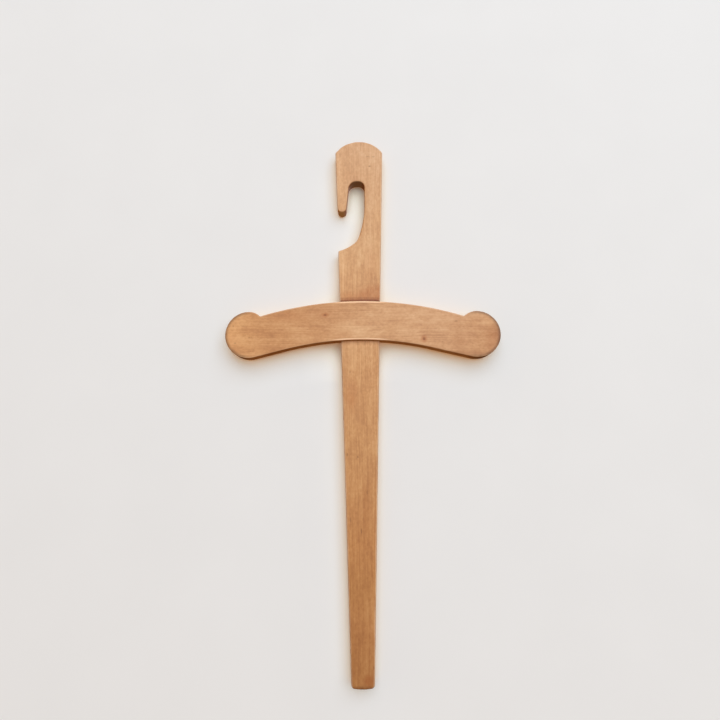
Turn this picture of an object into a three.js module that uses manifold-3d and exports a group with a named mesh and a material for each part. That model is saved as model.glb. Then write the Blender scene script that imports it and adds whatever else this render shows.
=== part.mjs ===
// Long wooden clothes hanger for a high rail: an upright board with a hook cut into its head and a
// tapering handle below, and an arched shoulder board let into its front and screwed on from behind.
// Millimetres, +Z up, front towards -Y. The origin is the crown of the hook's throat, at half the
// upright board's thickness, where the rail carries the hanger.

import * as THREE from 'three';
import { mergeVertices } from 'three/addons/utils/BufferGeometryUtils.js';
import Module from 'manifold-3d';

const wasm = await Module();
wasm.setup();

// Boards. Both are planed to the same thickness, and the shoulder board stands proud of the upright.
const BOARD_THICKNESS = 20;
const CROSSBAR_PROUD = 7;
const ARRIS = 1.6; // rounding of every long edge
const JOINT_GAP = 0.3; // clearance between neighbouring pieces
const SHOULDER_GAP = 0.6; // wider clearance above the shoulder board
const HOUSING_DEPTH = 6.85; // cut into the front of the upright board

// Upright board. x is counted from its centre line and z from the throat's crown.
const HALF_WIDTH_AT_CROWN = 34.7;
const TAPER = 0.027; // growth of the half width per millimetre of height
const HEAD_RADIUS = 44.2;
const HEAD_CENTRE_Z = 21.2;
const END_Z = -715.2;
const END_BOW = 0.7; // the end is slightly convex
const END_CORNER = 5;

// Hook: a round throat, a prong on its left and a wide mouth below the prong's tip.
const THROAT_LEFT = -16.2;
const THROAT_RIGHT = 8;
const THROAT_LEFT_RADIUS = 12;
const THROAT_RIGHT_RADIUS = 9.2;
const PRONG_TIP_X = -26.1;
const PRONG_TIP_Z = -42.7;
const PRONG_TIP_RADIUS = 6.6;
const PRONG_ROOT_Z = -3; // where the prong's outer edge leaves the board's edge
const WALL_STRAIGHT_END_Z = -34;
const WALL_FOOT = new THREE.Vector2(-1.8, -90.6);
const WALL_PULL = new THREE.Vector2(8.2, -63.6);
const LIP_TOP = new THREE.Vector2(-6.5, -97.4);
const LIP_TOP_PULL = new THREE.Vector2(-3.1, -94.5);
const LIP_PULL = new THREE.Vector2(-18.2, -107.4);
const LIP_END_Z = -110.6;

// Shoulder board: a band between two arcs of one centre, with a round knob at each end. The lower
// edge leaves its arc on a straight tangent into the knob. The knob stands above the upper arc, and
// from just past its top it falls faster than a circle to the notch. The right arm is a little longer
// than the left.
const ARC_CENTRE_Z = -692.2;
const UPPER_ARC_RADIUS = 502.4;
const LOWER_ARC_RADIUS = 445.2;
const KNOB_RADIUS = 34.1;
const LEFT_KNOB_REACH = 481.4; // from the arcs' centre to a knob's centre
const RIGHT_KNOB_REACH = 482.9;
const LEFT_KNOB_ANGLE = THREE.MathUtils.degToRad(19.54);
const RIGHT_KNOB_ANGLE = THREE.MathUtils.degToRad(20.45);
const LEFT_NOTCH_SHIFT = 3.7; // how much nearer its knob a notch lies than a full circle would meet the arc
const RIGHT_NOTCH_SHIFT = 2.6;
const KNOB_SHOULDER_TURN = THREE.MathUtils.degToRad(2); // from a knob's top to where the faster fall starts
const KNOB_SHOULDER_PULL = 10;

// Countersunk slotted wood screws, driven from the back through the upright into the shoulder board.
const SCREW_LENGTH = 22;
const SCREW_SHANK_RADIUS = 1.75;
const SCREW_ROOT_RADIUS = 1.25;
const SCREW_HEAD_RADIUS = 3.5;
const SCREW_HEAD_RIM = 0.25;
const SCREW_THREAD_PITCH = 1.4;
const SCREW_THREAD_TURNS = 8;
const SCREW_POINT = 3;
const SCREW_SINK = 0.2; // the head lies this far below the wood
const SLOT_WIDTH = 0.9;
const SLOT_DEPTH = 1.1;
const SCREWS = [
  { name: 'upper_screw', x: -11, z: -207, slotTurn: 0.6 },
  { name: 'lower_screw', x: 11, z: -231, slotTurn: -0.25 },
];

const MERGE_TOLERANCE = 1e-4;
const CURVE_STEPS = 12;
const ARRIS_STEPS = 3;
const ROUND_STEPS = 28;
const CUT_MARGIN = 5; // how far a cutting solid reaches past the surface that it opens

const FRONT_Y = -BOARD_THICKNESS / 2;
const BACK_Y = BOARD_THICKNESS / 2;
const CROSSBAR_FRONT_Y = FRONT_Y - CROSSBAR_PROUD;
const CROSSBAR_BACK_Y = CROSSBAR_FRONT_Y + BOARD_THICKNESS;
const HOUSING_FLOOR_Y = FRONT_Y + HOUSING_DEPTH;

// ---------------------------------------------------------------- solids

function solidOf(geometry) {
  const bare = geometry.clone();
  bare.deleteAttribute('normal');
  bare.deleteAttribute('uv');
  const merged = mergeVertices(bare, MERGE_TOLERANCE);
  return new wasm.Manifold(new wasm.Mesh({
    numProp: 3,
    vertProperties: new Float32Array(merged.attributes.position.array),
    triVerts: new Uint32Array(merged.index.array),
  }));
}

function geometryOf(solid) {
  const mesh = solid.getMesh();
  const geometry = new THREE.BufferGeometry();
  geometry.setAttribute('position', new THREE.BufferAttribute(mesh.vertProperties, 3));
  geometry.setIndex(new THREE.BufferAttribute(mesh.triVerts, 1));
  geometry.computeVertexNormals();
  return geometry;
}

// Stands an outline drawn in x and z upright and gives it thickness from yFront back to yBack.
function upright(outline, yFront, yBack, arris = 0) {
  const geometry = new THREE.ExtrudeGeometry(outline, {
    depth: yBack - yFront - 2 * arris,
    curveSegments: CURVE_STEPS,
    bevelEnabled: arris > 0,
    bevelSize: arris,
    bevelOffset: -arris,
    bevelThickness: arris,
    bevelSegments: ARRIS_STEPS,
  });
  geometry.rotateX(Math.PI / 2);
  geometry.translate(0, yBack - arris, 0);
  return geometry;
}

// ---------------------------------------------------------------- outlines

function polar(centre, radius, angle) {
  return new THREE.Vector2(centre.x + radius * Math.cos(angle), centre.y + radius * Math.sin(angle));
}

function halfWidth(z) {
  return HALF_WIDTH_AT_CROWN + TAPER * z;
}

// The angle on the head's arc at which the arc meets the board's right edge.
function headCornerAngle() {
  const reach = halfWidth(HEAD_CENTRE_Z) / (HEAD_RADIUS * Math.hypot(1, TAPER));
  return Math.acos(reach) - Math.atan(TAPER);
}

function hookBarOutline() {
  const endCornerZ = END_Z + END_BOW;
  const endX = halfWidth(endCornerZ);
  const corner = headCornerAngle();
  const tipX = PRONG_TIP_X - PRONG_TIP_RADIUS;
  const outline = new THREE.Shape();

  // handle end, right edge and head
  outline.moveTo(-halfWidth(endCornerZ + END_CORNER), endCornerZ + END_CORNER);
  outline.quadraticCurveTo(-endX, endCornerZ, -endX + END_CORNER, endCornerZ);
  outline.quadraticCurveTo(0, END_Z - END_BOW, endX - END_CORNER, endCornerZ);
  outline.quadraticCurveTo(endX, endCornerZ, halfWidth(endCornerZ + END_CORNER), endCornerZ + END_CORNER);
  outline.absarc(0, HEAD_CENTRE_Z, HEAD_RADIUS, corner, Math.PI - corner, false);

  // prong, throat, mouth and the lip below it
  outline.lineTo(-halfWidth(PRONG_ROOT_Z), PRONG_ROOT_Z);
  outline.lineTo(tipX, PRONG_TIP_Z);
  outline.absarc(PRONG_TIP_X, PRONG_TIP_Z, PRONG_TIP_RADIUS, Math.PI, 2 * Math.PI, false);
  outline.absarc(
    THROAT_LEFT + THROAT_LEFT_RADIUS, -THROAT_LEFT_RADIUS, THROAT_LEFT_RADIUS, Math.PI, Math.PI / 2, true);
  outline.absarc(
    THROAT_RIGHT - THROAT_RIGHT_RADIUS, -THROAT_RIGHT_RADIUS, THROAT_RIGHT_RADIUS, Math.PI / 2, 0, true);
  outline.lineTo(THROAT_RIGHT, WALL_STRAIGHT_END_Z);
  outline.quadraticCurveTo(WALL_PULL.x, WALL_PULL.y, WALL_FOOT.x, WALL_FOOT.y);
  outline.quadraticCurveTo(LIP_TOP_PULL.x, LIP_TOP_PULL.y, LIP_TOP.x, LIP_TOP.y);
  outline.quadraticCurveTo(LIP_PULL.x, LIP_PULL.y, -halfWidth(LIP_END_Z), LIP_END_Z);
  outline.closePath();
  return outline;
}

// One arm's points and angles. side is 1 for the right arm and -1 for the left one.
function arm(side, knobReach, knobAngle, notchShift) {
  const towardsKnob = Math.PI / 2 - side * knobAngle;
  const circleNotch = Math.acos(
    (knobReach ** 2 + UPPER_ARC_RADIUS ** 2 - KNOB_RADIUS ** 2) / (2 * knobReach * UPPER_ARC_RADIUS));
  const arcCentre = new THREE.Vector2(0, ARC_CENTRE_Z);
  const knob = polar(arcCentre, knobReach, towardsKnob);
  const shoulderAngle = Math.PI / 2 - side * KNOB_SHOULDER_TURN;
  const shoulder = polar(knob, KNOB_RADIUS, shoulderAngle);
  const notchAngle = towardsKnob + side * (circleNotch - notchShift / UPPER_ARC_RADIUS);
  return {
    knob,
    shoulder,
    shoulderAngle,
    pull: polar(shoulder, KNOB_SHOULDER_PULL, shoulderAngle + side * Math.PI / 2),
    notch: polar(arcCentre, UPPER_ARC_RADIUS, notchAngle),
    notchAngle,
    lowerEndAngle: towardsKnob + side * Math.acos((LOWER_ARC_RADIUS + KNOB_RADIUS) / knobReach),
  };
}

function crossbarOutline() {
  const right = arm(1, RIGHT_KNOB_REACH, RIGHT_KNOB_ANGLE, RIGHT_NOTCH_SHIFT);
  const left = arm(-1, LEFT_KNOB_REACH, LEFT_KNOB_ANGLE, LEFT_NOTCH_SHIFT);
  const outline = new THREE.Shape();
  outline.absarc(0, ARC_CENTRE_Z, LOWER_ARC_RADIUS, left.lowerEndAngle, right.lowerEndAngle, true);
  outline.absarc(
    right.knob.x, right.knob.y, KNOB_RADIUS, right.lowerEndAngle - Math.PI, right.shoulderAngle, false);
  outline.quadraticCurveTo(right.pull.x, right.pull.y, right.notch.x, right.notch.y);
  outline.absarc(0, ARC_CENTRE_Z, UPPER_ARC_RADIUS, right.notchAngle, left.notchAngle, false);
  outline.quadraticCurveTo(left.pull.x, left.pull.y, left.shoulder.x, left.shoulder.y);
  outline.absarc(
    left.knob.x, left.knob.y, KNOB_RADIUS, left.shoulderAngle, left.lowerEndAngle + Math.PI, false);
  outline.closePath();
  return outline;
}

// The curved housing across the upright board that takes the shoulder board.
function housingOutline() {
  const top = UPPER_ARC_RADIUS + SHOULDER_GAP;
  const bottom = LOWER_ARC_RADIUS - JOINT_GAP;
  const spread = Math.atan2(HALF_WIDTH_AT_CROWN + CUT_MARGIN, bottom);
  const outline = new THREE.Shape();
  outline.absarc(0, ARC_CENTRE_Z, bottom, Math.PI / 2 + spread, Math.PI / 2 - spread, true);
  outline.absarc(0, ARC_CENTRE_Z, top, Math.PI / 2 - spread, Math.PI / 2 + spread, false);
  return outline;
}

// The notch in the back of the shoulder board, as wide as the tapering upright.
function notchOutline() {
  const top = ARC_CENTRE_Z + UPPER_ARC_RADIUS + CUT_MARGIN;
  const bottom = ARC_CENTRE_Z + LOWER_ARC_RADIUS - CUT_MARGIN;
  const outline = new THREE.Shape();
  outline.moveTo(-halfWidth(bottom) - JOINT_GAP, bottom);
  outline.lineTo(halfWidth(bottom) + JOINT_GAP, bottom);
  outline.lineTo(halfWidth(top) + JOINT_GAP, top);
  outline.lineTo(-halfWidth(top) - JOINT_GAP, top);
  outline.closePath();
  return outline;
}

// ---------------------------------------------------------------- pieces

// Profile of a screw about its axis, from the point at -SCREW_LENGTH to the head's face at 0.
// The thread is drawn as rings at the thread's pitch.
function screwProfile() {
  const threadStart = -SCREW_LENGTH + SCREW_POINT;
  const profile = [new THREE.Vector2(0, -SCREW_LENGTH), new THREE.Vector2(SCREW_ROOT_RADIUS, threadStart)];
  for (let turn = 0; turn < SCREW_THREAD_TURNS; turn += 1) {
    const z = threadStart + turn * SCREW_THREAD_PITCH;
    profile.push(new THREE.Vector2(SCREW_SHANK_RADIUS, z + 0.5 * SCREW_THREAD_PITCH));
    profile.push(new THREE.Vector2(SCREW_ROOT_RADIUS, z + SCREW_THREAD_PITCH));
  }
  const shankStart = threadStart + (SCREW_THREAD_TURNS + 0.5) * SCREW_THREAD_PITCH;
  const coneHeight = SCREW_HEAD_RADIUS - SCREW_SHANK_RADIUS;
  profile.push(
    new THREE.Vector2(SCREW_SHANK_RADIUS, shankStart),
    new THREE.Vector2(SCREW_SHANK_RADIUS, -SCREW_HEAD_RIM - coneHeight),
    new THREE.Vector2(SCREW_HEAD_RADIUS, -SCREW_HEAD_RIM),
    new THREE.Vector2(SCREW_HEAD_RADIUS, 0),
    new THREE.Vector2(0, 0),
  );
  return profile;
}

function screwSolid(slotTurn) {
  const body = solidOf(new THREE.LatheGeometry(screwProfile(), ROUND_STEPS));
  const slot = new THREE.BoxGeometry(3 * SCREW_HEAD_RADIUS, 2 * SLOT_DEPTH, SLOT_WIDTH);
  slot.rotateY(slotTurn);
  return body.subtract(solidOf(slot));
}

// The hole for one screw: countersink, then a straight bore that ends just past the point.
function screwHole({ x, z }) {
  const bore = SCREW_SHANK_RADIUS + JOINT_GAP;
  const sink = SCREW_HEAD_RADIUS + JOINT_GAP;
  const rim = -SCREW_HEAD_RIM - JOINT_GAP / 2;
  const hole = new THREE.LatheGeometry([
    new THREE.Vector2(0, -SCREW_LENGTH - 2 * JOINT_GAP),
    new THREE.Vector2(bore, -SCREW_LENGTH - JOINT_GAP),
    new THREE.Vector2(bore, rim - (sink - bore)),
    new THREE.Vector2(sink, rim),
    new THREE.Vector2(sink, CUT_MARGIN),
    new THREE.Vector2(0, CUT_MARGIN),
  ], ROUND_STEPS);
  hole.translate(x, BACK_Y - SCREW_SINK, z);
  return solidOf(hole);
}

function hookBarSolid() {
  const board = solidOf(upright(hookBarOutline(), FRONT_Y, BACK_Y, ARRIS));
  const housing = solidOf(upright(housingOutline(), FRONT_Y - CUT_MARGIN, HOUSING_FLOOR_Y));
  return SCREWS.reduce((solid, screw) => solid.subtract(screwHole(screw)), board.subtract(housing));
}

function crossbarSolid() {
  const board = solidOf(upright(crossbarOutline(), CROSSBAR_FRONT_Y, CROSSBAR_BACK_Y, ARRIS));
  const notch = solidOf(upright(
    notchOutline(), HOUSING_FLOOR_Y - JOINT_GAP, CROSSBAR_BACK_Y + CUT_MARGIN));
  return SCREWS.reduce((solid, screw) => solid.subtract(screwHole(screw)), board.subtract(notch));
}

// ---------------------------------------------------------------- assembly

const barWood = new THREE.MeshStandardMaterial({ color: 0xd6a276, roughness: 0.55, metalness: 0 });
const crossbarWood = new THREE.MeshStandardMaterial({ color: 0xd09e74, roughness: 0.55, metalness: 0 });
const screwSteel = new THREE.MeshStandardMaterial({ color: 0x8b8478, roughness: 0.45, metalness: 0.9 });

const hanger = new THREE.Group();
hanger.position.x = -(THROAT_LEFT + THROAT_RIGHT) / 2;

function add(name, solid, material) {
  const mesh = new THREE.Mesh(geometryOf(solid), material);
  mesh.name = name;
  hanger.add(mesh);
  return mesh;
}

add('hook_bar', hookBarSolid(), barWood);
add('crossbar', crossbarSolid(), crossbarWood);
for (const screw of SCREWS) {
  const mesh = add(screw.name, screwSolid(screw.slotTurn), screwSteel);
  mesh.position.set(screw.x, BACK_Y - SCREW_SINK, screw.z);
}

export default hanger;
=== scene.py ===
"""Looks of the wooden clothes hanger: two aged boards with worn edges, let into each other and held by
two screws from behind, in front of a pale backdrop. Metres, in the CAD's frame: z runs up from the
crown of the hook's throat, the front faces -y, and the hook's mouth opens towards -x."""

import math

import bmesh
import bpy
import numpy as np
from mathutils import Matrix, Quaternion, Vector, noise
from mathutils.geometry import delaunay_2d_cdt

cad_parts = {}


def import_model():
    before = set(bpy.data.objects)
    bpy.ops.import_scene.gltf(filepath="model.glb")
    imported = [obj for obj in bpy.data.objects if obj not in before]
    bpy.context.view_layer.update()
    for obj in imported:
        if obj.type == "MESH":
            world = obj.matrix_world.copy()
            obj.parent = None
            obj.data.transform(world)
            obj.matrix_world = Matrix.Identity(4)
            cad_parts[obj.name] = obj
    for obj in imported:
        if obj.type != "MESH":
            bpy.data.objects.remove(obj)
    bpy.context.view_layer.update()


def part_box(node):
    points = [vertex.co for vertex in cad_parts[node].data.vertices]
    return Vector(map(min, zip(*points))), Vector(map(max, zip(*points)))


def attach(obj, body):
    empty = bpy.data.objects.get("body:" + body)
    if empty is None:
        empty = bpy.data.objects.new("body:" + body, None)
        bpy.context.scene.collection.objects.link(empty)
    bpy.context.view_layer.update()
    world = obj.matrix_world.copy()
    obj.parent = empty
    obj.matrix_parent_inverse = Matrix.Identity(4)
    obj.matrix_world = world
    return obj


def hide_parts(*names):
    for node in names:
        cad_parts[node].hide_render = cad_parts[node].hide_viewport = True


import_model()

MM = 0.001

# ---------------------------------------------------------------- measures from the CAD

bar_low, bar_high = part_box("hook_bar")
cross_low, cross_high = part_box("crossbar")
AXIS_X = (bar_low.x + bar_high.x) / 2  # the upright's centre line
BAR_FRONT, BAR_BACK = bar_low.y, bar_high.y
CROSS_FRONT, CROSS_BACK = cross_low.y, cross_high.y
HEAD_TOP, BAR_END = bar_high.z, bar_low.z
CROSS_TOP = cross_high.z

# Upright board. x from its centre line, z from the throat's crown.
TAPER = 0.027  # growth of the half width with height
HALF_WIDTH_AT_CROWN = 34.7 * MM
HEAD_RADIUS = 44.2 * MM
END_CORNER = 5 * MM
END_BOW = 0.7 * MM
THROAT_LEFT, THROAT_RIGHT = -16.2 * MM, 8 * MM
THROAT_LEFT_RADIUS, THROAT_RIGHT_RADIUS = 12 * MM, 9.2 * MM
PRONG_TIP = np.array((-26.1, -42.7)) * MM
PRONG_TIP_RADIUS = 6.6 * MM
PRONG_ROOT_Z = -3 * MM
WALL_STRAIGHT_END_Z = -34 * MM
WALL_FOOT, WALL_PULL = np.array((-1.8, -90.6)) * MM, np.array((8.2, -63.6)) * MM
LIP_TOP, LIP_TOP_PULL = np.array((-6.5, -97.4)) * MM, np.array((-3.1, -94.5)) * MM
LIP_PULL, LIP_END_Z = np.array((-18.2, -107.4)) * MM, -110.6 * MM

# Shoulder board: a band between two arcs of one centre, with a knob at each end. From just past its top
# a knob falls faster than a circle to the notch in the upper edge.
UPPER_ARC_RADIUS, LOWER_ARC_RADIUS = 502.4 * MM, 445.2 * MM
KNOB_RADIUS = 34.1 * MM
LEFT_KNOB_REACH, RIGHT_KNOB_REACH = 481.4 * MM, 482.9 * MM
LEFT_KNOB_ANGLE, RIGHT_KNOB_ANGLE = math.radians(19.54), math.radians(20.45)
LEFT_NOTCH_SHIFT, RIGHT_NOTCH_SHIFT = 3.7 * MM, 2.6 * MM
KNOB_SHOULDER_TURN, KNOB_SHOULDER_PULL = math.radians(2), 10 * MM

# The joint between the boards, and the screws.
JOINT_GAP, SHOULDER_GAP = 0.3 * MM, 0.6 * MM
HOUSING_DEPTH = 6.85 * MM
SCREW_SHANK_RADIUS, SCREW_ROOT_RADIUS = 1.75 * MM, 1.25 * MM
SCREW_RIM, SCREW_POINT = 0.25 * MM, 3 * MM
THREAD_PITCH, THREAD_LENGTH = 1.4 * MM, 11.2 * MM
SLOT_WIDTH, SLOT_DEPTH = 0.9 * MM, 1.1 * MM
SLOT_TURNS = {"upper_screw": 0.6, "lower_screw": -0.25}

# Surface detail.
OUTLINE_STEP = 1.0 * MM
CORNER_SOFTENING = 2  # smoothing passes over the outline's sharp corners
ARRIS, ARRIS_SPREAD = 1.7 * MM, 0.45 * MM
ARRIS_RING_ANGLES = np.radians((30, 50, 70, 90))
SIDE_ROWS = 6
FACE_STEP = 2.8 * MM
WAVES = ((0.10 * MM, 45), (0.05 * MM, 14))  # height, and its period in millimetres
SHARP_ANGLE = math.radians(38)
# The edge reaches below also carry the painted edge highlights.
RIM_REACH, CORNER_REACH, SIDE_REACH = 10 * MM, 6 * MM, 4 * MM  # how far wear and dirt reach from an edge


# ---------------------------------------------------------------- outlines


def arc(centre, radius, start, end):
    angles = np.linspace(start, end, 160)
    return np.column_stack((centre[0] + radius * np.cos(angles), centre[1] + radius * np.sin(angles)))


def curve(start, pull, end):
    t = np.linspace(0, 1, 60)[:, None]
    return (1 - t) ** 2 * np.array(start) + 2 * t * (1 - t) * np.array(pull) + t * t * np.array(end)


def even_outline(*runs, softening=CORNER_SOFTENING):
    """One closed loop through the runs, with evenly spaced points and slightly softened corners."""
    points = np.vstack(runs)
    points = np.vstack((points, points[:1]))
    lengths = np.hypot(*np.diff(points, axis=0).T)
    travelled = np.concatenate(([0], np.cumsum(lengths)))
    count = round(travelled[-1] / OUTLINE_STEP)
    at = np.linspace(0, travelled[-1], count, endpoint=False)
    loop = np.column_stack([np.interp(at, travelled, points[:, k]) for k in (0, 1)])
    for _ in range(softening):
        loop = (np.roll(loop, 1, axis=0) + 2 * loop + np.roll(loop, -1, axis=0)) / 4
    return loop


def half_width(z):
    return HALF_WIDTH_AT_CROWN + TAPER * z


def hook_bar_outline():
    head_z = HEAD_TOP - HEAD_RADIUS
    corner = math.acos(half_width(head_z) / (HEAD_RADIUS * math.hypot(1, TAPER))) - math.atan(TAPER)
    end_z = BAR_END + 1.5 * END_BOW
    end_x, side_z = half_width(end_z), end_z + END_CORNER
    throat_left = (THROAT_LEFT + THROAT_LEFT_RADIUS, -THROAT_LEFT_RADIUS)
    throat_right = (THROAT_RIGHT - THROAT_RIGHT_RADIUS, -THROAT_RIGHT_RADIUS)
    loop = even_outline(
        curve((-half_width(side_z), side_z), (-end_x, end_z), (-end_x + END_CORNER, end_z)),
        curve((-end_x + END_CORNER, end_z), (0, end_z - 2 * END_BOW), (end_x - END_CORNER, end_z)),
        curve((end_x - END_CORNER, end_z), (end_x, end_z), (half_width(side_z), side_z)),
        arc((0, head_z), HEAD_RADIUS, corner, math.pi - corner),
        [(-half_width(PRONG_ROOT_Z), PRONG_ROOT_Z)],
        arc(PRONG_TIP, PRONG_TIP_RADIUS, math.pi, 2 * math.pi),
        arc(throat_left, THROAT_LEFT_RADIUS, math.pi, math.pi / 2),
        arc(throat_right, THROAT_RIGHT_RADIUS, math.pi / 2, 0),
        curve((THROAT_RIGHT, WALL_STRAIGHT_END_Z), WALL_PULL, WALL_FOOT),
        curve(WALL_FOOT, LIP_TOP_PULL, LIP_TOP),
        curve(LIP_TOP, LIP_PULL, (-half_width(LIP_END_Z), LIP_END_Z)),
    )
    return loop + (AXIS_X, 0)


def arc_centre():
    return np.array((0, CROSS_TOP - UPPER_ARC_RADIUS))


def polar(centre, radius, angle):
    return centre + radius * np.array((math.cos(angle), math.sin(angle)))


def arm(side, reach, knob_angle, notch_shift):
    """One arm's knob centre and the curve from the knob's top to the notch, and the angles at which the
    lower edge leaves its arc, the curve leaves the knob's circle and the notch lies. side is 1 for the
    right arm and -1 for the left one."""
    towards = math.pi / 2 - side * knob_angle
    knob = polar(arc_centre(), reach, towards)
    lower_end = towards + side * math.acos((LOWER_ARC_RADIUS + KNOB_RADIUS) / reach)
    circle_notch = (reach**2 + UPPER_ARC_RADIUS**2 - KNOB_RADIUS**2) / (2 * reach * UPPER_ARC_RADIUS)
    notch = towards + side * (math.acos(circle_notch) - notch_shift / UPPER_ARC_RADIUS)
    shoulder = math.pi / 2 - side * KNOB_SHOULDER_TURN
    start = polar(knob, KNOB_RADIUS, shoulder)
    pull = polar(start, KNOB_SHOULDER_PULL, shoulder + side * math.pi / 2)
    fall = curve(start, pull, polar(arc_centre(), UPPER_ARC_RADIUS, notch))
    return knob, fall, lower_end, shoulder, notch


def crossbar_outline():
    knob, fall, lower_end, shoulder, notch = arm(1, RIGHT_KNOB_REACH, RIGHT_KNOB_ANGLE, RIGHT_NOTCH_SHIFT)
    right_side = [arc(knob, KNOB_RADIUS, lower_end - math.pi, shoulder), fall]
    right_end, right_notch = lower_end, notch
    knob, fall, lower_end, shoulder, notch = arm(-1, LEFT_KNOB_REACH, LEFT_KNOB_ANGLE, LEFT_NOTCH_SHIFT)
    left_side = [fall[::-1], arc(knob, KNOB_RADIUS, shoulder, lower_end + math.pi)]
    lower = arc(arc_centre(), LOWER_ARC_RADIUS, lower_end, right_end)
    upper = arc(arc_centre(), UPPER_ARC_RADIUS, right_notch, notch)
    return even_outline(lower, *right_side, upper, *left_side, softening=1) + (AXIS_X, 0)


def housing_outline():
    """The curved housing across the upright that takes the shoulder board."""
    spread = math.atan2(1.3 * HALF_WIDTH_AT_CROWN, LOWER_ARC_RADIUS)
    low, high = math.pi / 2 - spread, math.pi / 2 + spread
    loop = np.vstack(
        (
            arc(arc_centre(), LOWER_ARC_RADIUS - JOINT_GAP, high, low),
            arc(arc_centre(), UPPER_ARC_RADIUS + SHOULDER_GAP, low, high),
        )
    )
    return loop + (AXIS_X, 0)


def notch_outline():
    """The notch in the back of the shoulder board, as wide as the tapering upright."""
    bottom = cross_low.z
    top = CROSS_TOP + 5 * MM
    low, high = half_width(bottom) + JOINT_GAP, half_width(top) + JOINT_GAP
    return np.array(((-low, bottom), (low, bottom), (high, top), (-high, top))) + (AXIS_X, 0)


# ---------------------------------------------------------------- board meshes


def outward(loop):
    along = np.roll(loop, -1, axis=0) - np.roll(loop, 1, axis=0)
    along /= np.hypot(*along.T)[:, None]
    return np.column_stack((along[:, 1], -along[:, 0]))


def edge_distance(points, loop):
    """Distance of each point to the closed loop."""
    span = np.roll(loop, -1, axis=0) - loop
    square = (span**2).sum(1)
    result = np.empty(len(points))
    for first in range(0, len(points), 1000):
        chunk = points[first : first + 1000, None, :] - loop[None]
        t = np.clip((chunk * span).sum(2) / square, 0, 1)
        result[first : first + 1000] = np.sqrt(((chunk - t[..., None] * span) ** 2).sum(2).min(1))
    return result


def inside(points, loop):
    result = np.zeros(len(points), bool)
    for (x0, z0), (x1, z1) in zip(loop, np.roll(loop, -1, axis=0)):
        rows = (z0 > points[:, 1]) != (z1 > points[:, 1])
        if z0 != z1:
            result ^= rows & (points[:, 0] < x0 + (x1 - x0) * (points[:, 1] - z0) / (z1 - z0))
    return result


def wavy(point, period):
    return noise.noise(Vector(point) / (period * MM))


def arris_radius(points, seed):
    """The edge rounding near each point: it varies as it does on boards rounded by hand."""
    return np.array([ARRIS + ARRIS_SPREAD * wavy((x, seed, z), 26) for x, z in points])


def face_points(loop, rng):
    """Points of one face: the outline, rings across its rounded edge, and a loose grid inside."""
    normals = outward(loop)
    reach = ARRIS + ARRIS_SPREAD
    rings = [loop - normals * (ARRIS * (1 - math.cos(angle))) for angle in ARRIS_RING_ANGLES]
    rings.append((loop - normals * (reach + 0.6 * MM))[::2])
    nominal = [ARRIS * (1 - math.cos(angle)) for angle in ARRIS_RING_ANGLES] + [reach + 0.6 * MM]
    kept = [loop]
    for ring, depth in zip(rings, nominal):
        kept.append(ring[edge_distance(ring, loop) > 0.93 * depth])
    low, high = loop.min(0), loop.max(0)
    columns, rows = ((high - low) / FACE_STEP).astype(int) + 1
    grid = np.stack(np.meshgrid(np.arange(columns), np.arange(rows)), -1).reshape(-1, 2).astype(float)
    grid[:, 0] += 0.5 * (grid[:, 1] % 2)
    grid = low + (grid + rng.uniform(-0.2, 0.2, grid.shape)) * FACE_STEP
    grid = grid[inside(grid, loop)]
    kept.append(grid[edge_distance(grid, loop) > reach + 1.8 * MM])
    return np.vstack(kept)


def board(name, loop, front, back, seed):
    """A closed board mesh: both faces with rounded edges, and the sides between them."""
    rng = np.random.default_rng(seed)
    count = len(loop)
    flat = face_points(loop, rng)
    ring = [(i, (i + 1) % count) for i in range(count)]
    points, _, faces, *_ = delaunay_2d_cdt([Vector(p) for p in flat], ring, [], 1, 1e-7)
    points = np.array([tuple(p) for p in points])
    distance = edge_distance(points, loop)
    distance[:count] = 0

    def depths(salt):
        radius = arris_radius(points, seed + salt)
        rise = np.clip(1 - distance / radius, 0, 1)
        return radius * (1 - np.sqrt(1 - rise**2))

    front_y, back_y = front + depths(0.31), back - depths(0.77)
    total = len(points)
    verts = [(x, y, z) for (x, z), y in zip(points, front_y)]
    verts += [(x, y, z) for (x, z), y in zip(points, back_y)]
    polygons = [tuple(face) for face in faces]
    polygons += [tuple(total + i for i in reversed(face)) for face in faces]
    rows = [list(range(count))]
    for step in range(1, SIDE_ROWS):
        share = step / SIDE_ROWS
        rows.append(list(range(len(verts), len(verts) + count)))
        for (x, z), y0, y1 in zip(points[:count], front_y, back_y):
            verts.append((x, y0 + (y1 - y0) * share, z))
    rows.append([total + i for i in range(count)])
    for upper, lower in zip(rows, rows[1:]):
        polygons += [(upper[j], upper[i], lower[i], lower[j]) for i, j in ring]
    mesh = bpy.data.meshes.new(name)
    mesh.from_pydata(verts, [], polygons)
    mesh.update()
    return mesh


def fade(value, start, end):
    """0 below start, 1 above end, smooth between."""
    t = np.clip((value - start) / (end - start), 0, 1)
    return t * t * (3 - 2 * t)


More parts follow.
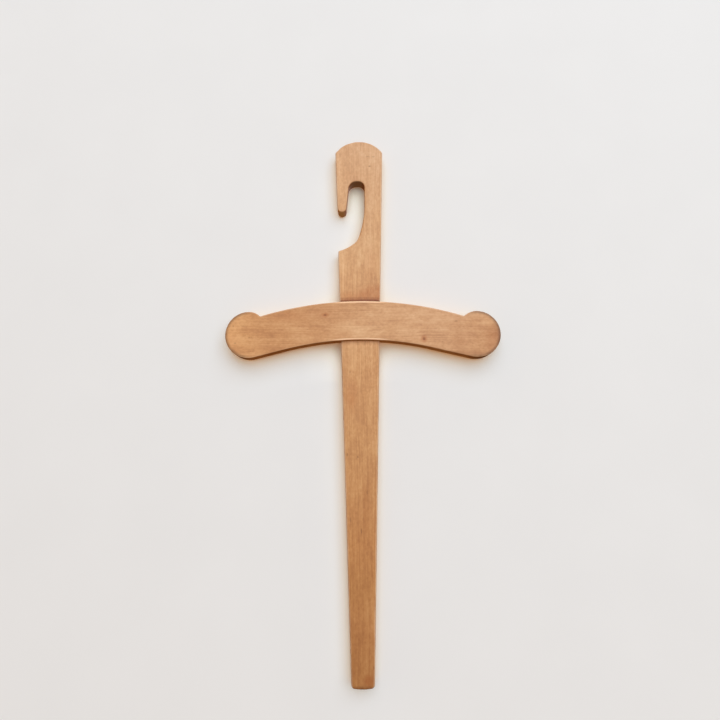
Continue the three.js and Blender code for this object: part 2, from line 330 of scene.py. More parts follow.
def weather(mesh, loop, seed, dents, calm):
    """Hand-planed waves over all surfaces, and small dents, most of them on the edges. Where calm(point)
    is 0, the surface stays true, so that the boards still fit each other."""
    rng = np.random.default_rng(seed)
    count = len(mesh.vertices)
    co = np.empty(count * 3)
    mesh.vertices.foreach_get("co", co)
    co = co.reshape(-1, 3)
    normal = np.empty(count * 3, np.float32)
    mesh.vertices.foreach_get("normal", normal)
    normal = normal.reshape(-1, 3)
    shift = np.zeros(count)
    for height, period in WAVES:
        shift += [height * wavy(p + (seed, 0, 0), period) for p in co]
    shift *= calm(co)
    for _ in range(dents):
        edge = rng.random() < 0.75
        x, z = loop[rng.integers(len(loop))] if edge else co[rng.integers(count), (0, 2)]
        y = (BAR_FRONT if rng.random() < 0.6 else BAR_BACK) if edge else co[rng.integers(count), 1]
        y = min(max(y, co[:, 1].min()), co[:, 1].max())
        size = rng.uniform(0.8, 2.6) * MM
        deep = rng.uniform(0.08, 0.2) * size
        away = ((co - (x, y, z)) ** 2).sum(1)
        shift -= deep * np.exp(-away / size**2) * np.minimum(1, calm(np.array([(x, y, z)]))[0] * 2)
    co += normal * shift[:, None]
    mesh.vertices.foreach_set("co", co.ravel())
    mesh.update()


def placed(name, mesh):
    piece = bpy.data.objects.new(name, mesh)
    bpy.context.scene.collection.objects.link(piece)
    return piece


def prism(loop, front, back):
    """A plain cutting solid with the given outline."""
    mesh = bpy.data.meshes.new("cutter")
    count = len(loop)
    verts = [(x, front, z) for x, z in loop] + [(x, back, z) for x, z in loop]
    faces = [tuple(range(count)), tuple(reversed(range(count, 2 * count)))]
    faces += [(j, i, count + i, count + j) for i, j in zip(range(count), [*range(1, count), 0])]
    mesh.from_pydata(verts, [], faces)
    repair = bmesh.new()
    repair.from_mesh(mesh)
    bmesh.ops.recalc_face_normals(repair, faces=repair.faces)
    repair.to_mesh(mesh)
    repair.free()
    return placed("cutter", mesh)


def turned(name, profile, centre, steps):
    """A solid of revolution about the y axis through centre. The profile's points are (radius, y)."""
    mesh = bpy.data.meshes.new(name)
    build = bmesh.new()
    rings = []
    for radius, y in profile:
        if radius < 1e-7:
            rings.append([build.verts.new((centre.x, y, centre.z))] * steps)
            continue
        angles = [2 * math.pi * k / steps for k in range(steps)]
        ring = [(centre.x + radius * math.cos(a), y, centre.z + radius * math.sin(a)) for a in angles]
        rings.append([build.verts.new(p) for p in ring])
    for low, high in zip(rings, rings[1:]):
        for i in range(steps):
            j = (i + 1) % steps
            build.faces.new(dict.fromkeys((low[i], low[j], high[j], high[i])))
    bmesh.ops.recalc_face_normals(build, faces=build.faces)
    build.to_mesh(mesh)
    build.free()
    return placed(name, mesh)


def cut(piece, cutters):
    """Takes the cutters out of the piece and removes them."""
    for cutter in cutters:
        modifier = piece.modifiers.new("cut", "BOOLEAN")
        modifier.operation, modifier.solver, modifier.object = "DIFFERENCE", "EXACT", cutter
    depsgraph = bpy.context.evaluated_depsgraph_get()
    mesh = bpy.data.meshes.new_from_object(piece.evaluated_get(depsgraph))
    piece.modifiers.clear()
    piece.data = mesh
    for cutter in cutters:
        bpy.data.objects.remove(cutter)


def screw_places():
    """Centre and size of each screw, from the CAD."""
    places = {}
    for name in SLOT_TURNS:
        low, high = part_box(name)
        places[name] = ((low + high) / 2, low.y, high.y, (high.x - low.x) / 2)
    return places


def screw_hole(place):
    centre, point, head, radius = place
    bore, sink = SCREW_SHANK_RADIUS + JOINT_GAP, radius + JOINT_GAP
    rim = head - SCREW_RIM - JOINT_GAP / 2
    outside = BAR_BACK + 5 * MM
    profile = [(0, point - 2 * JOINT_GAP), (bore, point - JOINT_GAP), (bore, rim - sink + bore)]
    profile += [(sink, rim), (sink, outside), (0, outside)]
    return turned("cutter", profile, centre, 64)


def finish_mesh(piece, loop):
    """Smooth shading with true edges, and how near each point is to the board's outline, for the wear, the
    dirt and the painted edge highlights.
    """
    mesh = piece.data
    mesh.shade_smooth()
    mesh.set_sharp_from_angle(angle=SHARP_ANGLE)
    co = np.empty(len(mesh.vertices) * 3)
    mesh.vertices.foreach_get("co", co)
    co = co.reshape(-1, 3)
    distance = edge_distance(co[:, (0, 2)], loop)
    rim, near = (1 - np.clip(distance / reach, 0, 1) for reach in (RIM_REACH, CORNER_REACH))
    middle = (co[:, 1].min() + co[:, 1].max()) / 2
    half = (co[:, 1].max() - co[:, 1].min()) / 2
    side = 1 - np.clip((half - abs(co[:, 1] - middle)) / SIDE_REACH, 0, 1)
    for name, values in (("rim", rim), ("corner", near * side)):
        attribute = mesh.attributes.new(name, "FLOAT", "POINT")
        attribute.data.foreach_set("value", values.astype(np.float32))


# ---------------------------------------------------------------- materials


class Shader:
    """A node material and short ways of adding nodes to it."""

    def __init__(self, name):
        self.material = bpy.data.materials.new(name)
        self.material.use_nodes = True
        self.tree = self.material.node_tree
        self.tree.nodes.clear()
        self.output = self.tree.nodes.new("ShaderNodeOutputMaterial")

    def add(self, kind, inputs=None, **settings):
        node = self.tree.nodes.new("ShaderNode" + kind)
        for key, value in settings.items():
            setattr(node, key, value)
        for key, value in (inputs or {}).items():
            if isinstance(value, bpy.types.NodeSocket):
                self.tree.links.new(value, node.inputs[key])
            else:
                node.inputs[key].default_value = value
        return node

    def maths(self, operation, *values, clamp=False):
        return self.add("Math", dict(enumerate(values)), operation=operation, use_clamp=clamp).outputs[0]

    def vector(self, operation, *values):
        node = self.add("VectorMath", operation=operation)
        for socket, value in zip(node.inputs, values):
            if isinstance(value, bpy.types.NodeSocket):
                self.tree.links.new(value, socket)
            else:
                socket.default_value = value
        return node.outputs["Value" if operation in ("LENGTH", "DOT_PRODUCT") else "Vector"]

    def combine(self, x, y, z):
        return self.add("CombineXYZ", {0: x, 1: y, 2: z}).outputs[0]

    def noise(self, place, scale=1.0, detail=2.0, rough=0.5):
        inputs = {"Vector": place, "Scale": scale, "Detail": detail, "Roughness": rough}
        return self.add("TexNoise", inputs).outputs[0]

    def step(self, value, start, end, low=0.0, high=1.0):
        """Smooth change from low to high as value goes from start to end."""
        inputs = {"Value": value, "From Min": start, "From Max": end, "To Min": low, "To Max": high}
        return self.add("MapRange", inputs, interpolation_type="SMOOTHSTEP").outputs[0]

    def mix(self, share, low, high, blend="MIX"):
        node = self.add("Mix", data_type="RGBA", blend_type=blend)
        for index, value in ((0, share), (6, low), (7, high)):
            if isinstance(value, bpy.types.NodeSocket):
                self.tree.links.new(value, node.inputs[index])
            else:
                node.inputs[index].default_value = value if index == 0 else (*value, 1)
        return node.outputs[2]

    def ramp(self, value, stops):
        node = self.add("ValToRGB", {"Fac": value})
        ramp = node.color_ramp
        while len(ramp.elements) < len(stops):
            ramp.elements.new(0.5)
        for element, (position, colour) in zip(ramp.elements, stops):
            element.position = position
            element.color = (*colour, 1)
        return node.outputs[0]

    def spot(self, place, centre, size, soft=0.5):
        """1 at a blemish's centre and 0 outside it. Its size is half its extent along x, y and z, in mm."""
        away = self.vector("SUBTRACT", place, tuple(centre))
        away = self.vector("MULTIPLY", away, tuple(1 / s for s in size))
        return self.step(self.vector("LENGTH", away), 1 - soft, 1 + soft, 1, 0)

    def strongest(self, values):
        total = values[0]
        for value in values[1:]:
            total = self.maths("MAXIMUM", total, value)
        return total

    def surface(self, **inputs):
        named = {key.replace("_", " "): value for key, value in inputs.items()}
        shader = self.add("BsdfPrincipled", named)
        self.tree.links.new(shader.outputs[0], self.output.inputs["Surface"])
        return self.material


# Wood tones, as light reflected, from a dark fleck to the palest grain, and of rubbed edges; the pale and the
# polished edge tones also serve as painted highlights.
DARK_GRAIN, RED_GRAIN = (0.20, 0.075, 0.028), (0.43, 0.185, 0.075)
MID_GRAIN, PALE_GRAIN = (0.57, 0.28, 0.125), (0.70, 0.40, 0.215)
WORN_EDGE, PALE_LIT_EDGE, POLISHED_LIT_EDGE = (0.84, 0.54, 0.32), (0.74, 0.52, 0.35), (0.99, 0.64, 0.385)


class Wood(Shader):
    """Old waxed hardwood with its grain along x or along z. Places and sizes are in millimetres."""

    def __init__(self, name, along_x, seed, cloudy, streaky):
        super().__init__(name)
        coordinates = self.add("TexCoord").outputs
        self.place = self.vector("MULTIPLY", coordinates["Object"], (1000, 1000, 1000))
        self.normal = coordinates["Normal"]
        self.end_axis = 0 if along_x else 2
        self.x, self.y, self.z = self.add("SeparateXYZ", {0: self.place}).outputs
        across, self.along = (self.z, self.x) if along_x else (self.x, self.z)
        pith = seed * 37.0
        shifted = (self.maths("ADD", across, pith), self.y, self.maths("ADD", self.along, seed * 91.0))
        grain = self.combine(*shifted)

        # The grain wanders slowly, and its rings show as faint lines.
        slow = self.vector("MULTIPLY", grain, (0.016, 0.016, 0.004))
        wander = self.add("TexNoise", {"Vector": slow, "Scale": 1.0})
        wander = self.vector("SUBTRACT", wander.outputs["Color"], (0.5, 0.5, 0.5))
        self.wander = self.vector("MULTIPLY", wander, (16, 16, 0))
        warped = self.vector("ADD", grain, self.wander)
        from_pith = self.vector("SUBTRACT", warped, (pith + 22.0, 46.0, 0.0))
        radius = self.vector("LENGTH", self.vector("MULTIPLY", from_pith, (1, 1, 0)))
        ripple = self.noise(self.vector("MULTIPLY", warped, (0.3, 0.3, 0.02)), detail=3)
        ring = self.maths("ADD", self.maths("MULTIPLY", radius, 0.42), self.maths("MULTIPLY", ripple, 1.6))
        ring = self.maths("FRACT", ring)
        self.late = self.maths("MULTIPLY", self.step(ring, 0.45, 0.92), self.step(ring, 0.95, 1.0, 1, 0))

        self.streak = self.noise(self.vector("MULTIPLY", warped, (0.42, 0.42, 0.006)), detail=4, rough=0.6)
        self.fibre = self.noise(self.vector("MULTIPLY", warped, (2.6, 2.6, 0.09)), detail=4, rough=0.7)
        self.cloud = self.noise(self.vector("MULTIPLY", grain, (0.05, 0.05, 0.022)), detail=4, rough=0.6)
        self.blotch = self.noise(self.vector("MULTIPLY", grain, (0.16, 0.16, 0.07)), detail=3)
        self.mottle = self.noise(self.vector("MULTIPLY", grain, (0.34, 0.34, 0.24)), detail=2)
        pore = self.noise(self.vector("MULTIPLY", warped, (1.5, 1.5, 0.24)), detail=2)
        self.pore = self.maths("MULTIPLY", self.step(pore, 0.66, 0.74), self.step(self.blotch, 0.4, 0.6))
        self.scratch = self.noise(self.vector("MULTIPLY", grain, (0.5, 0.5, 4.0)), detail=1)
        self.colour = self.grain_colour(cloudy, streaky)
        self.marks = 0.0

    def grain_colour(self, cloudy, streaky):
        """Streaks, fibres, fine mottling and soft clouds of tone. cloudy and streaky are how strong the
        clouds and the streaks are."""
        tone = self.maths("MULTIPLY_ADD", self.streak, streaky, 0.717 - 0.5 * streaky - 0.687 * cloudy)
        tone = self.maths("MULTIPLY_ADD", self.mottle, 0.36, tone)
        tone = self.maths("MULTIPLY_ADD", self.cloud, cloudy, tone)
        tone = self.maths("MULTIPLY_ADD", self.blotch, 0.373 * cloudy, tone)
        tone = self.maths("MULTIPLY_ADD", self.fibre, 0.25, tone)
        tone = self.maths("MULTIPLY_ADD", self.late, -0.06, tone)
        tone = self.step(tone, 0.62, 1.42)
        colour = self.ramp(tone, ((0.0, RED_GRAIN), (0.45, MID_GRAIN), (1.0, PALE_GRAIN)))
        return self.mix(self.maths("MULTIPLY", self.pore, 0.5), colour, DARK_GRAIN)

    def darken(self, share, tint):
        """Multiplies the colour by the tint where share is 1."""
        self.colour = self.mix(share, self.colour, self.mix(1.0, self.colour, tint, "MULTIPLY"))

    def tint_along(self, tints):
        """A tint that changes along the board, given as (place along the grain, tint)."""
        first, last = tints[0][0], tints[-1][0]
        reach = self.maths("DIVIDE", self.maths("SUBTRACT", self.along, first), last - first, clamp=True)
        stops = [((place - first) / (last - first), tint) for place, tint in tints]
        self.colour = self.mix(1.0, self.colour, self.ramp(reach, stops), "MULTIPLY")

    def tint_patches(self, patches):
        """Soft uneven areas of (centre, size, tint, strength): stains, and where a table says so, painted
        light.
        """
        ragged = self.vector("ADD", self.place, self.vector("MULTIPLY", self.wander, (0.35, 0, 0.35)))
        patchy = self.step(self.maths("ADD", self.streak, self.blotch), 0.7, 1.25, 0.35, 1.0)
        for centre, size, tint, strength in patches:
            area = self.maths("MULTIPLY", self.spot(ragged, centre, size, 0.6), strength)
            self.darken(self.maths("MULTIPLY", area, patchy, clamp=True), tint)

    def flame(self, tip_x, tip_z, spread, height):
        """Faint nested arches of grain, as on a board cut at a slant to its rings."""
        aside = self.maths("POWER", self.maths("SUBTRACT", self.x, tip_x), 2.0)
        above = self.maths("SUBTRACT", self.z, tip_z)
        level = self.maths("SUBTRACT", above, self.maths("MULTIPLY", aside, 1 / spread))
        level = self.maths("MULTIPLY_ADD", self.blotch, 9.0, level)
        line = self.maths("FRACT", self.maths("MULTIPLY", level, 1 / 21))
        line = self.maths("MULTIPLY", self.step(line, 0.0, 0.12), self.step(line, 0.12, 0.3, 1, 0))
        line = self.maths("MULTIPLY", line, self.step(level, 2.0, 6.0))
        line = self.maths("MULTIPLY", line, self.step(above, 0.6 * height, height, 1, 0))
        self.darken(self.maths("MULTIPLY", line, 0.55), (0.80, 0.66, 0.52))

    def joint_shade_and_dirt(self):
        """Painted shade, with some dirt, on the upright along the shoulder board's upper edge: a thin dark
        line in a soft dark band, in the corner between the boards. It runs over the front and the sides, but
        not over the back, which the shoulder board doesn't reach."""
        centre = tuple(c / MM for c in (AXIS_X, 0, arc_centre()[1]))
        above = self.vector("MULTIPLY", self.vector("SUBTRACT", self.place, centre), (1, 0, 1))
        above = self.maths("SUBTRACT", self.vector("LENGTH", above), UPPER_ARC_RADIUS / MM)
        above = self.maths("MULTIPLY_ADD", self.blotch, 1.2, above)
        outside = self.maths("MULTIPLY", self.step(above, -1.0, 0.0), self.step(self.y, 1.0, 5.0, 1, 0))
        wide = self.maths("MULTIPLY", self.step(above, 7.0, 9.5, 1, 0), outside)
        line = self.maths("MULTIPLY", self.step(above, 4.4, 5.4, 1, 0), outside)
        self.darken(self.maths("MULTIPLY", wide, 0.8), (0.70, 0.60, 0.50))
        self.darken(self.maths("MULTIPLY", line, 0.95), (0.55, 0.40, 0.26))

    def mark(self, flecks, knots):
        """Small dark flecks of (centre, size, strength), and knots of the same with a reddish halo."""
        for centre, size, strength in knots:
            halo = self.spot(self.place, centre, [2.4 * extent for extent in size], 0.7)
            self.darken(self.maths("MULTIPLY", halo, strength), (0.80, 0.55, 0.38))
        spots = []
        for centre, size, strength in (*flecks, *knots):
            spots.append(self.maths("MULTIPLY", self.spot(self.place, centre, size, 0.5), strength))
        self.marks = self.maths("MULTIPLY", self.strongest(spots), self.step(self.fibre, 0.3, 0.6, 0.55, 1.0))
        self.colour = self.mix(self.marks, self.colour, DARK_GRAIN)

    def edge_wear_light_and_shade(self, worn=0.0, polished_and_lit=(), shaded_sides=(), end_light_and_shade=(), dirty_beyond=None):
        """Sawn sides and end grain are darker: partly patina, and end grain drinks more wax; partly painted
        shade. Dirt stays beside the edges, and the outer and upward-facing edges are paler: partly rubbed,
        partly a painted highlight. worn tells how much rubbing the edges facing down show, polished_and_lit
        lists (centre, size) of rubbed bright edges, with a painted highlight where an edge faces up,
        shaded_sides the same of sides darkened as painted shade, end_light_and_shade (centre, size, colour)
        of end grain recoloured as painted light and shade, and beyond dirty_beyond from the centre line
        edges are dark."""
        facing = self.add("SeparateXYZ", {0: self.normal}).outputs
        front = self.step(self.maths("ABSOLUTE", facing[1]), 0.15, 0.75)
        end = self.step(self.maths("ABSOLUTE", facing[self.end_axis]), 0.55, 0.95)
        self.sawn = self.maths("SUBTRACT", 1.0, front)
        # Sawn sides darker: partly a darker patina, partly painted shade on sides that face away from the
        # light.
        self.darken(self.maths("MULTIPLY", self.sawn, 0.85), (0.82, 0.72, 0.62))
        # End grain darker: partly soaked-in wax, partly painted shade in the hook's throat, whose crown is
        # end grain.
        self.darken(self.maths("MULTIPLY", end, 0.8), (0.66, 0.52, 0.42))
        # The listed sides are darker still: painted shade inside the hook's narrow throat.
        for centre, size in shaded_sides:
            share = self.maths("MULTIPLY", self.sawn, self.spot(self.place, centre, size, 0.3))
            self.darken(share, (0.62, 0.50, 0.42))
        # The listed end grain takes a given colour: painted shade on the throat's crown, painted light
        # bounced up under the prong's tip.
        for centre, size, colour in end_light_and_shade:
            share = self.maths("MULTIPLY", end, self.spot(self.place, centre, size, 0.3))
            self.colour = self.mix(self.maths("MULTIPLY", share, 0.9), self.colour, colour)
        rim = self.add("Attribute", attribute_name="rim").outputs["Fac"]
        corner = self.add("Attribute", attribute_name="corner").outputs["Fac"]
        grimy = (self.step(rim, 0.46, 0.76), self.step(self.blotch, 0.35, 0.65, 0.2, 0.8))
        grime = self.maths("MULTIPLY", *grimy)
        self.darken(self.maths("MULTIPLY", grime, 0.22), (0.72, 0.58, 0.46))

        aside = self.maths("SUBTRACT", self.x, AXIS_X / MM)
        outer = self.step(self.maths("MULTIPLY", aside, facing[0]), 0.5, 3.0)
        outer = self.maths("MAXIMUM", outer, self.step(facing[2], 0.2, 0.5))
        arris = self.maths("MULTIPLY", self.step(corner, 0.60, 0.76), front)
        uneven = self.step(self.cloud, 0.40, 0.56, 0.6, 1.0)
        down = self.step(facing[2], -0.10, -0.45)
        clean = 1.0
        if dirty_beyond:
            knob = self.step(self.maths("ABSOLUTE", aside), dirty_beyond, dirty_beyond + 25)
            patchy = self.step(self.blotch, 0.35, 0.6, 0.75, 1.0)
            dirt = self.maths("MULTIPLY", self.maths("MULTIPLY", knob, patchy), self.step(rim, 0.42, 0.96))
            self.darken(dirt, (0.46, 0.45, 0.46))
            clean = self.maths("SUBTRACT", 1.0, knob)
        # Outward- and upward-facing edges turn paler: partly rubbed wear, partly a painted highlight; edges
        # facing down, which lie in shade, stay out.
        not_down = self.maths("SUBTRACT", outer, down, clamp=True)
        pale = self.maths("MULTIPLY", self.maths("MULTIPLY", arris, uneven), not_down)
        pale = self.maths("MULTIPLY", self.maths("MULTIPLY", pale, 0.5), clean)
        self.colour = self.mix(pale, self.colour, PALE_LIT_EDGE)
        rubbed = self.maths("MULTIPLY", arris, down)
        rubbed = self.maths("MULTIPLY", rubbed, self.maths("MULTIPLY", uneven, worn))
        self.colour = self.mix(rubbed, self.colour, WORN_EDGE)
        # Listed bright edges: rubbed, and where an edge faces up, a painted highlight.
        wide_arris = self.maths("MULTIPLY", self.step(corner, 0.50, 0.72), front)
        for centre, size in polished_and_lit:
            share = self.maths("MULTIPLY", wide_arris, self.spot(self.place, centre, size, 0.3))
            self.colour = self.mix(share, self.colour, POLISHED_LIT_EDGE)

    def finish(self):
        """Satin wax, duller in the pores and along the sawn sides."""
        rough = self.maths("MULTIPLY_ADD", self.fibre, 0.16, 0.42)
        rough = self.maths("MULTIPLY_ADD", self.blotch, 0.10, rough)
        rough = self.maths("MULTIPLY_ADD", self.marks, 0.2, rough)
        rough = self.maths("MULTIPLY_ADD", self.sawn, 0.25, rough, clamp=True)
        height = self.maths("MULTIPLY", self.fibre, 0.030)
        height = self.maths("MULTIPLY_ADD", self.pore, -0.05, height)
        height = self.maths("MULTIPLY_ADD", self.late, -0.012, height)
        height = self.maths("MULTIPLY_ADD", self.marks, -0.10, height)
        height = self.maths("MULTIPLY_ADD", self.step(self.scratch, 0.72, 0.78), -0.04, height)
        bump = self.add("Bump", {"Strength": 0.7, "Distance": MM, "Height": height}).outputs[0]
        wax = {
            "Specular_IOR_Level": self.maths("MULTIPLY_ADD", self.sawn, -0.25, 0.4),
            "Coat_Weight": self.maths("MULTIPLY_ADD", self.sawn, -0.06, 0.06),
            "Coat_Roughness": 0.35,
        }
        return self.surface(Base_Color=self.colour, Roughness=rough, Normal=bump, **wax)


def steel():
    """Old screw steel: dull scratched metal, darker in its slot and thread, with a little rust."""
    s = Shader("screw_steel")
    place = s.vector("MULTIPLY", s.add("TexCoord").outputs["Object"], (1000, 1000, 1000))
    patch = s.noise(place, 0.9, 4, 0.6)
    fine = s.noise(place, 4.5, 3, 0.7)
    hollow = s.add("Attribute", attribute_name="hollow").outputs["Fac"]
    rust = s.maths("MAXIMUM", s.step(patch, 0.52, 0.66), s.maths("MULTIPLY", hollow, 0.9))
    colour = s.ramp(fine, ((0.25, (0.30, 0.285, 0.26)), (0.8, (0.52, 0.50, 0.46))))
    brown = s.ramp(fine, ((0.3, (0.085, 0.045, 0.025)), (0.7, (0.21, 0.10, 0.05))))
    colour = s.mix(s.maths("MULTIPLY", rust, 0.75), colour, brown)
    rough = s.maths("MULTIPLY_ADD", fine, 0.25, 0.28)
    rough = s.maths("ADD", rough, s.maths("MULTIPLY", rust, 0.3), clamp=True)
    metal = s.maths("MULTIPLY_ADD", rust, -0.65, 0.95)
    height = s.maths("ADD", s.maths("MULTIPLY", fine, 0.03), s.maths("MULTIPLY", rust, -0.02))
    bump = s.add("Bump", {"Strength": 0.6, "Distance": MM, "Height": height}).outputs[0]
    return s.surface(Base_Color=colour, Roughness=rough, Metallic=metal, Normal=bump)


# ---------------------------------------------------------------- pieces


def off_joint(points):
    """0 in and beside the joint between the boards, 1 well away from it."""
    radius = np.hypot(points[:, 0] - AXIS_X, points[:, 2] - arc_centre()[1])
    middle = (UPPER_ARC_RADIUS + LOWER_ARC_RADIUS) / 2
    past_band = abs(radius - middle) - (UPPER_ARC_RADIUS - LOWER_ARC_RADIUS) / 2
    past_bar = abs(points[:, 0] - AXIS_X) - half_width(CROSS_TOP)
    return fade(np.maximum(past_band, past_bar), 2 * MM, 14 * MM)


def hook_bar(holes, material):
    loop = hook_bar_outline()
    mesh = board("wood_hook_bar", loop, BAR_FRONT, BAR_BACK, seed=3)
    weather(mesh, loop, seed=5, dents=70, calm=off_joint)
    piece = placed("wood_hook_bar", mesh)
    housing = prism(housing_outline(), BAR_FRONT - 5 * MM, BAR_FRONT + HOUSING_DEPTH)
    cut(piece, [housing, *(screw_hole(place) for place in holes)])
    finish_mesh(piece, loop)
    piece.data.materials.clear()
    piece.data.materials.append(material)
    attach(piece, "root")
    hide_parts("hook_bar")


def crossbar(holes, material):
    loop = crossbar_outline()
    mesh = board("wood_crossbar", loop, CROSS_FRONT, CROSS_BACK, seed=11)
    weather(mesh, loop, seed=17, dents=45, calm=off_joint)
    piece = placed("wood_crossbar", mesh)
    notch = prism(notch_outline(), BAR_FRONT + HOUSING_DEPTH - JOINT_GAP, CROSS_BACK + 5 * MM)
    cut(piece, [notch, *(screw_hole(place) for place in holes)])
    finish_mesh(piece, loop)
    piece.data.materials.clear()
    piece.data.materials.append(material)
    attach(piece, "root")
    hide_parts("crossbar")


def screw(node, place, material):
    """A slotted countersunk wood screw with a helical thread."""
    centre, point, head, radius = place
    around, rise = 40, 0.09 * MM
    thread_start = point + SCREW_POINT
    thread_end = thread_start + THREAD_LENGTH
    cone_start = head - SCREW_RIM - (radius - SCREW_SHANK_RADIUS)
    levels = list(np.arange(point + 0.3 * MM, thread_end + THREAD_PITCH, rise))
    build = bmesh.new()
    rings = []
    for y in levels:
        body = SCREW_ROOT_RADIUS * min(1, (y - point) / SCREW_POINT)
        fading = min(1, max(0, (thread_end + THREAD_PITCH - y) / THREAD_PITCH))
        crest = (SCREW_SHANK_RADIUS - SCREW_ROOT_RADIUS) * min(1, (y - point) / (0.6 * SCREW_POINT))
        ring = []
        for k in range(around):
            turn = k / around
            phase = ((y - point) / THREAD_PITCH - turn) % 1
            ridge = max(0, 1 - abs(phase - 0.5) / 0.32)
            r = body + crest * ridge * fading
            r += (SCREW_SHANK_RADIUS - SCREW_ROOT_RADIUS) * (1 - fading)
            angle = 2 * math.pi * turn
            point_on_thread = (centre.x + r * math.cos(angle), y, centre.z + r * math.sin(angle))
            ring.append(build.verts.new(point_on_thread))
        rings.append(ring)
    bevel = 0.12 * MM
    top = [(SCREW_SHANK_RADIUS, cone_start), (radius, head - SCREW_RIM), (radius, head - bevel)]
    top += [(radius - bevel, head), (0.6 * radius, head + 0.03 * MM), (0.3 * radius, head + 0.05 * MM)]
    for r, y in top:
        angles = [2 * math.pi * k / around for k in range(around)]
        ring = [(centre.x + r * math.cos(a), min(y, head), centre.z + r * math.sin(a)) for a in angles]
        rings.append([build.verts.new(p) for p in ring])
    for low, high in zip(rings, rings[1:]):
        for i in range(around):
            j = (i + 1) % around
            build.faces.new((low[i], low[j], high[j], high[i]))
    tip = build.verts.new((centre.x, point, centre.z))
    cap = build.verts.new((centre.x, head, centre.z))
    for i in range(around):
        j = (i + 1) % around
        build.faces.new((tip, rings[0][j], rings[0][i]))
        build.faces.new((cap, rings[-1][i], rings[-1][j]))
    bmesh.ops.recalc_face_normals(build, faces=build.faces)
    mesh = bpy.data.meshes.new("steel_" + node)
    build.to_mesh(mesh)
    build.free()
    piece = placed("steel_" + node, mesh)

    turn = SLOT_TURNS[node]
    along = np.array((math.cos(turn), -math.sin(turn)))
    across = np.array((along[1], -along[0]))
    signs = ((-1, -1), (1, -1), (1, 1), (-1, 1))
    corners = [a * 1.5 * radius * along + b * SLOT_WIDTH / 2 * across for a, b in signs]
    slot = prism(np.array(corners) + (centre.x, centre.z), head - SLOT_DEPTH, head + MM)
    cut(piece, [slot])
    mesh = piece.data
    mesh.shade_smooth()
    mesh.set_sharp_from_angle(angle=SHARP_ANGLE)
    co = np.empty(len(mesh.vertices) * 3)
    mesh.vertices.foreach_get("co", co)
    co = co.reshape(-1, 3)
    off_axis = np.hypot(co[:, 0] - centre.x, co[:, 2] - centre.z)
    in_slot, in_thread = co[:, 1] < head - 0.4 * SLOT_DEPTH, off_axis < 1.1 * SCREW_ROOT_RADIUS
    hollow = np.where(co[:, 1] > cone_start, in_slot, in_thread)
    attribute = mesh.attributes.new("hollow", "FLOAT", "POINT")
    attribute.data.foreach_set("value", hollow.astype(np.float32))
    mesh.materials.clear()
    mesh.materials.append(material)
    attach(piece, "root")
    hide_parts(node)


# ---------------------------------------------------------------- stage

CAMERA_PLACE = (0.0034, -0.752, -0.3898)
CAMERA_TILT = math.atan(80 / 520)
CAMERA_ROLL = math.radians(0.46)
CAMERA_LENS, CAMERA_SENSOR = 26, 36
BACKDROP_GAP = 0.3 * MM
BACKDROP_SIZE = 3.2
PALE = (0.83, 0.815, 0.80)
GLOW, GLOW_REACH = (1.45, 1.24, 0.66), 45 * MM  # stands for the wood's warm light on the sheet
SHADE, SHADE_REACH = (2.0, 1.96, 1.74), 60 * MM  # light that a real cloth scatters into its own shadows
GLOW_FADE, SHADE_FADE = (0.62, 0.85), (0.36, 0.56)  # how enclosed the sheet is where each of them ends
SHADE_LEAN = Vector((2.2, 1, 2.2))  # leans the shadows' direction further towards the key light
KEY_PLACE = (1.14, -5.36, 2.14)


def camera():
    data = bpy.data.cameras.new("camera")
    data.lens, data.sensor_width = CAMERA_LENS, CAMERA_SENSOR
    data.clip_start = 0.01
    eye = bpy.data.objects.new("camera", data)
    bpy.context.scene.collection.objects.link(eye)
    eye.rotation_mode = "QUATERNION"
    forward = Vector((0, math.cos(CAMERA_TILT), math.sin(CAMERA_TILT)))
    turn = forward.to_track_quat("-Z", "Y")
    eye.rotation_quaternion = turn @ Quaternion(Vector((0, 0, 1)), -CAMERA_ROLL)
    eye.location = CAMERA_PLACE
    bpy.context.scene.camera = eye


def lamp(name, place, target, size, power, tint=(1, 1, 1)):
    data = bpy.data.lights.new(name, "AREA")
    data.shape, data.size, data.size_y = "RECTANGLE", size[0], size[1]
    data.energy, data.color = power, tint
    light = bpy.data.objects.new(name, data)
    bpy.context.scene.collection.objects.link(light)
    light.location = place
    light.rotation_mode = "QUATERNION"
    light.rotation_quaternion = (Vector(target) - Vector(place)).to_track_quat("-Z", "Y")


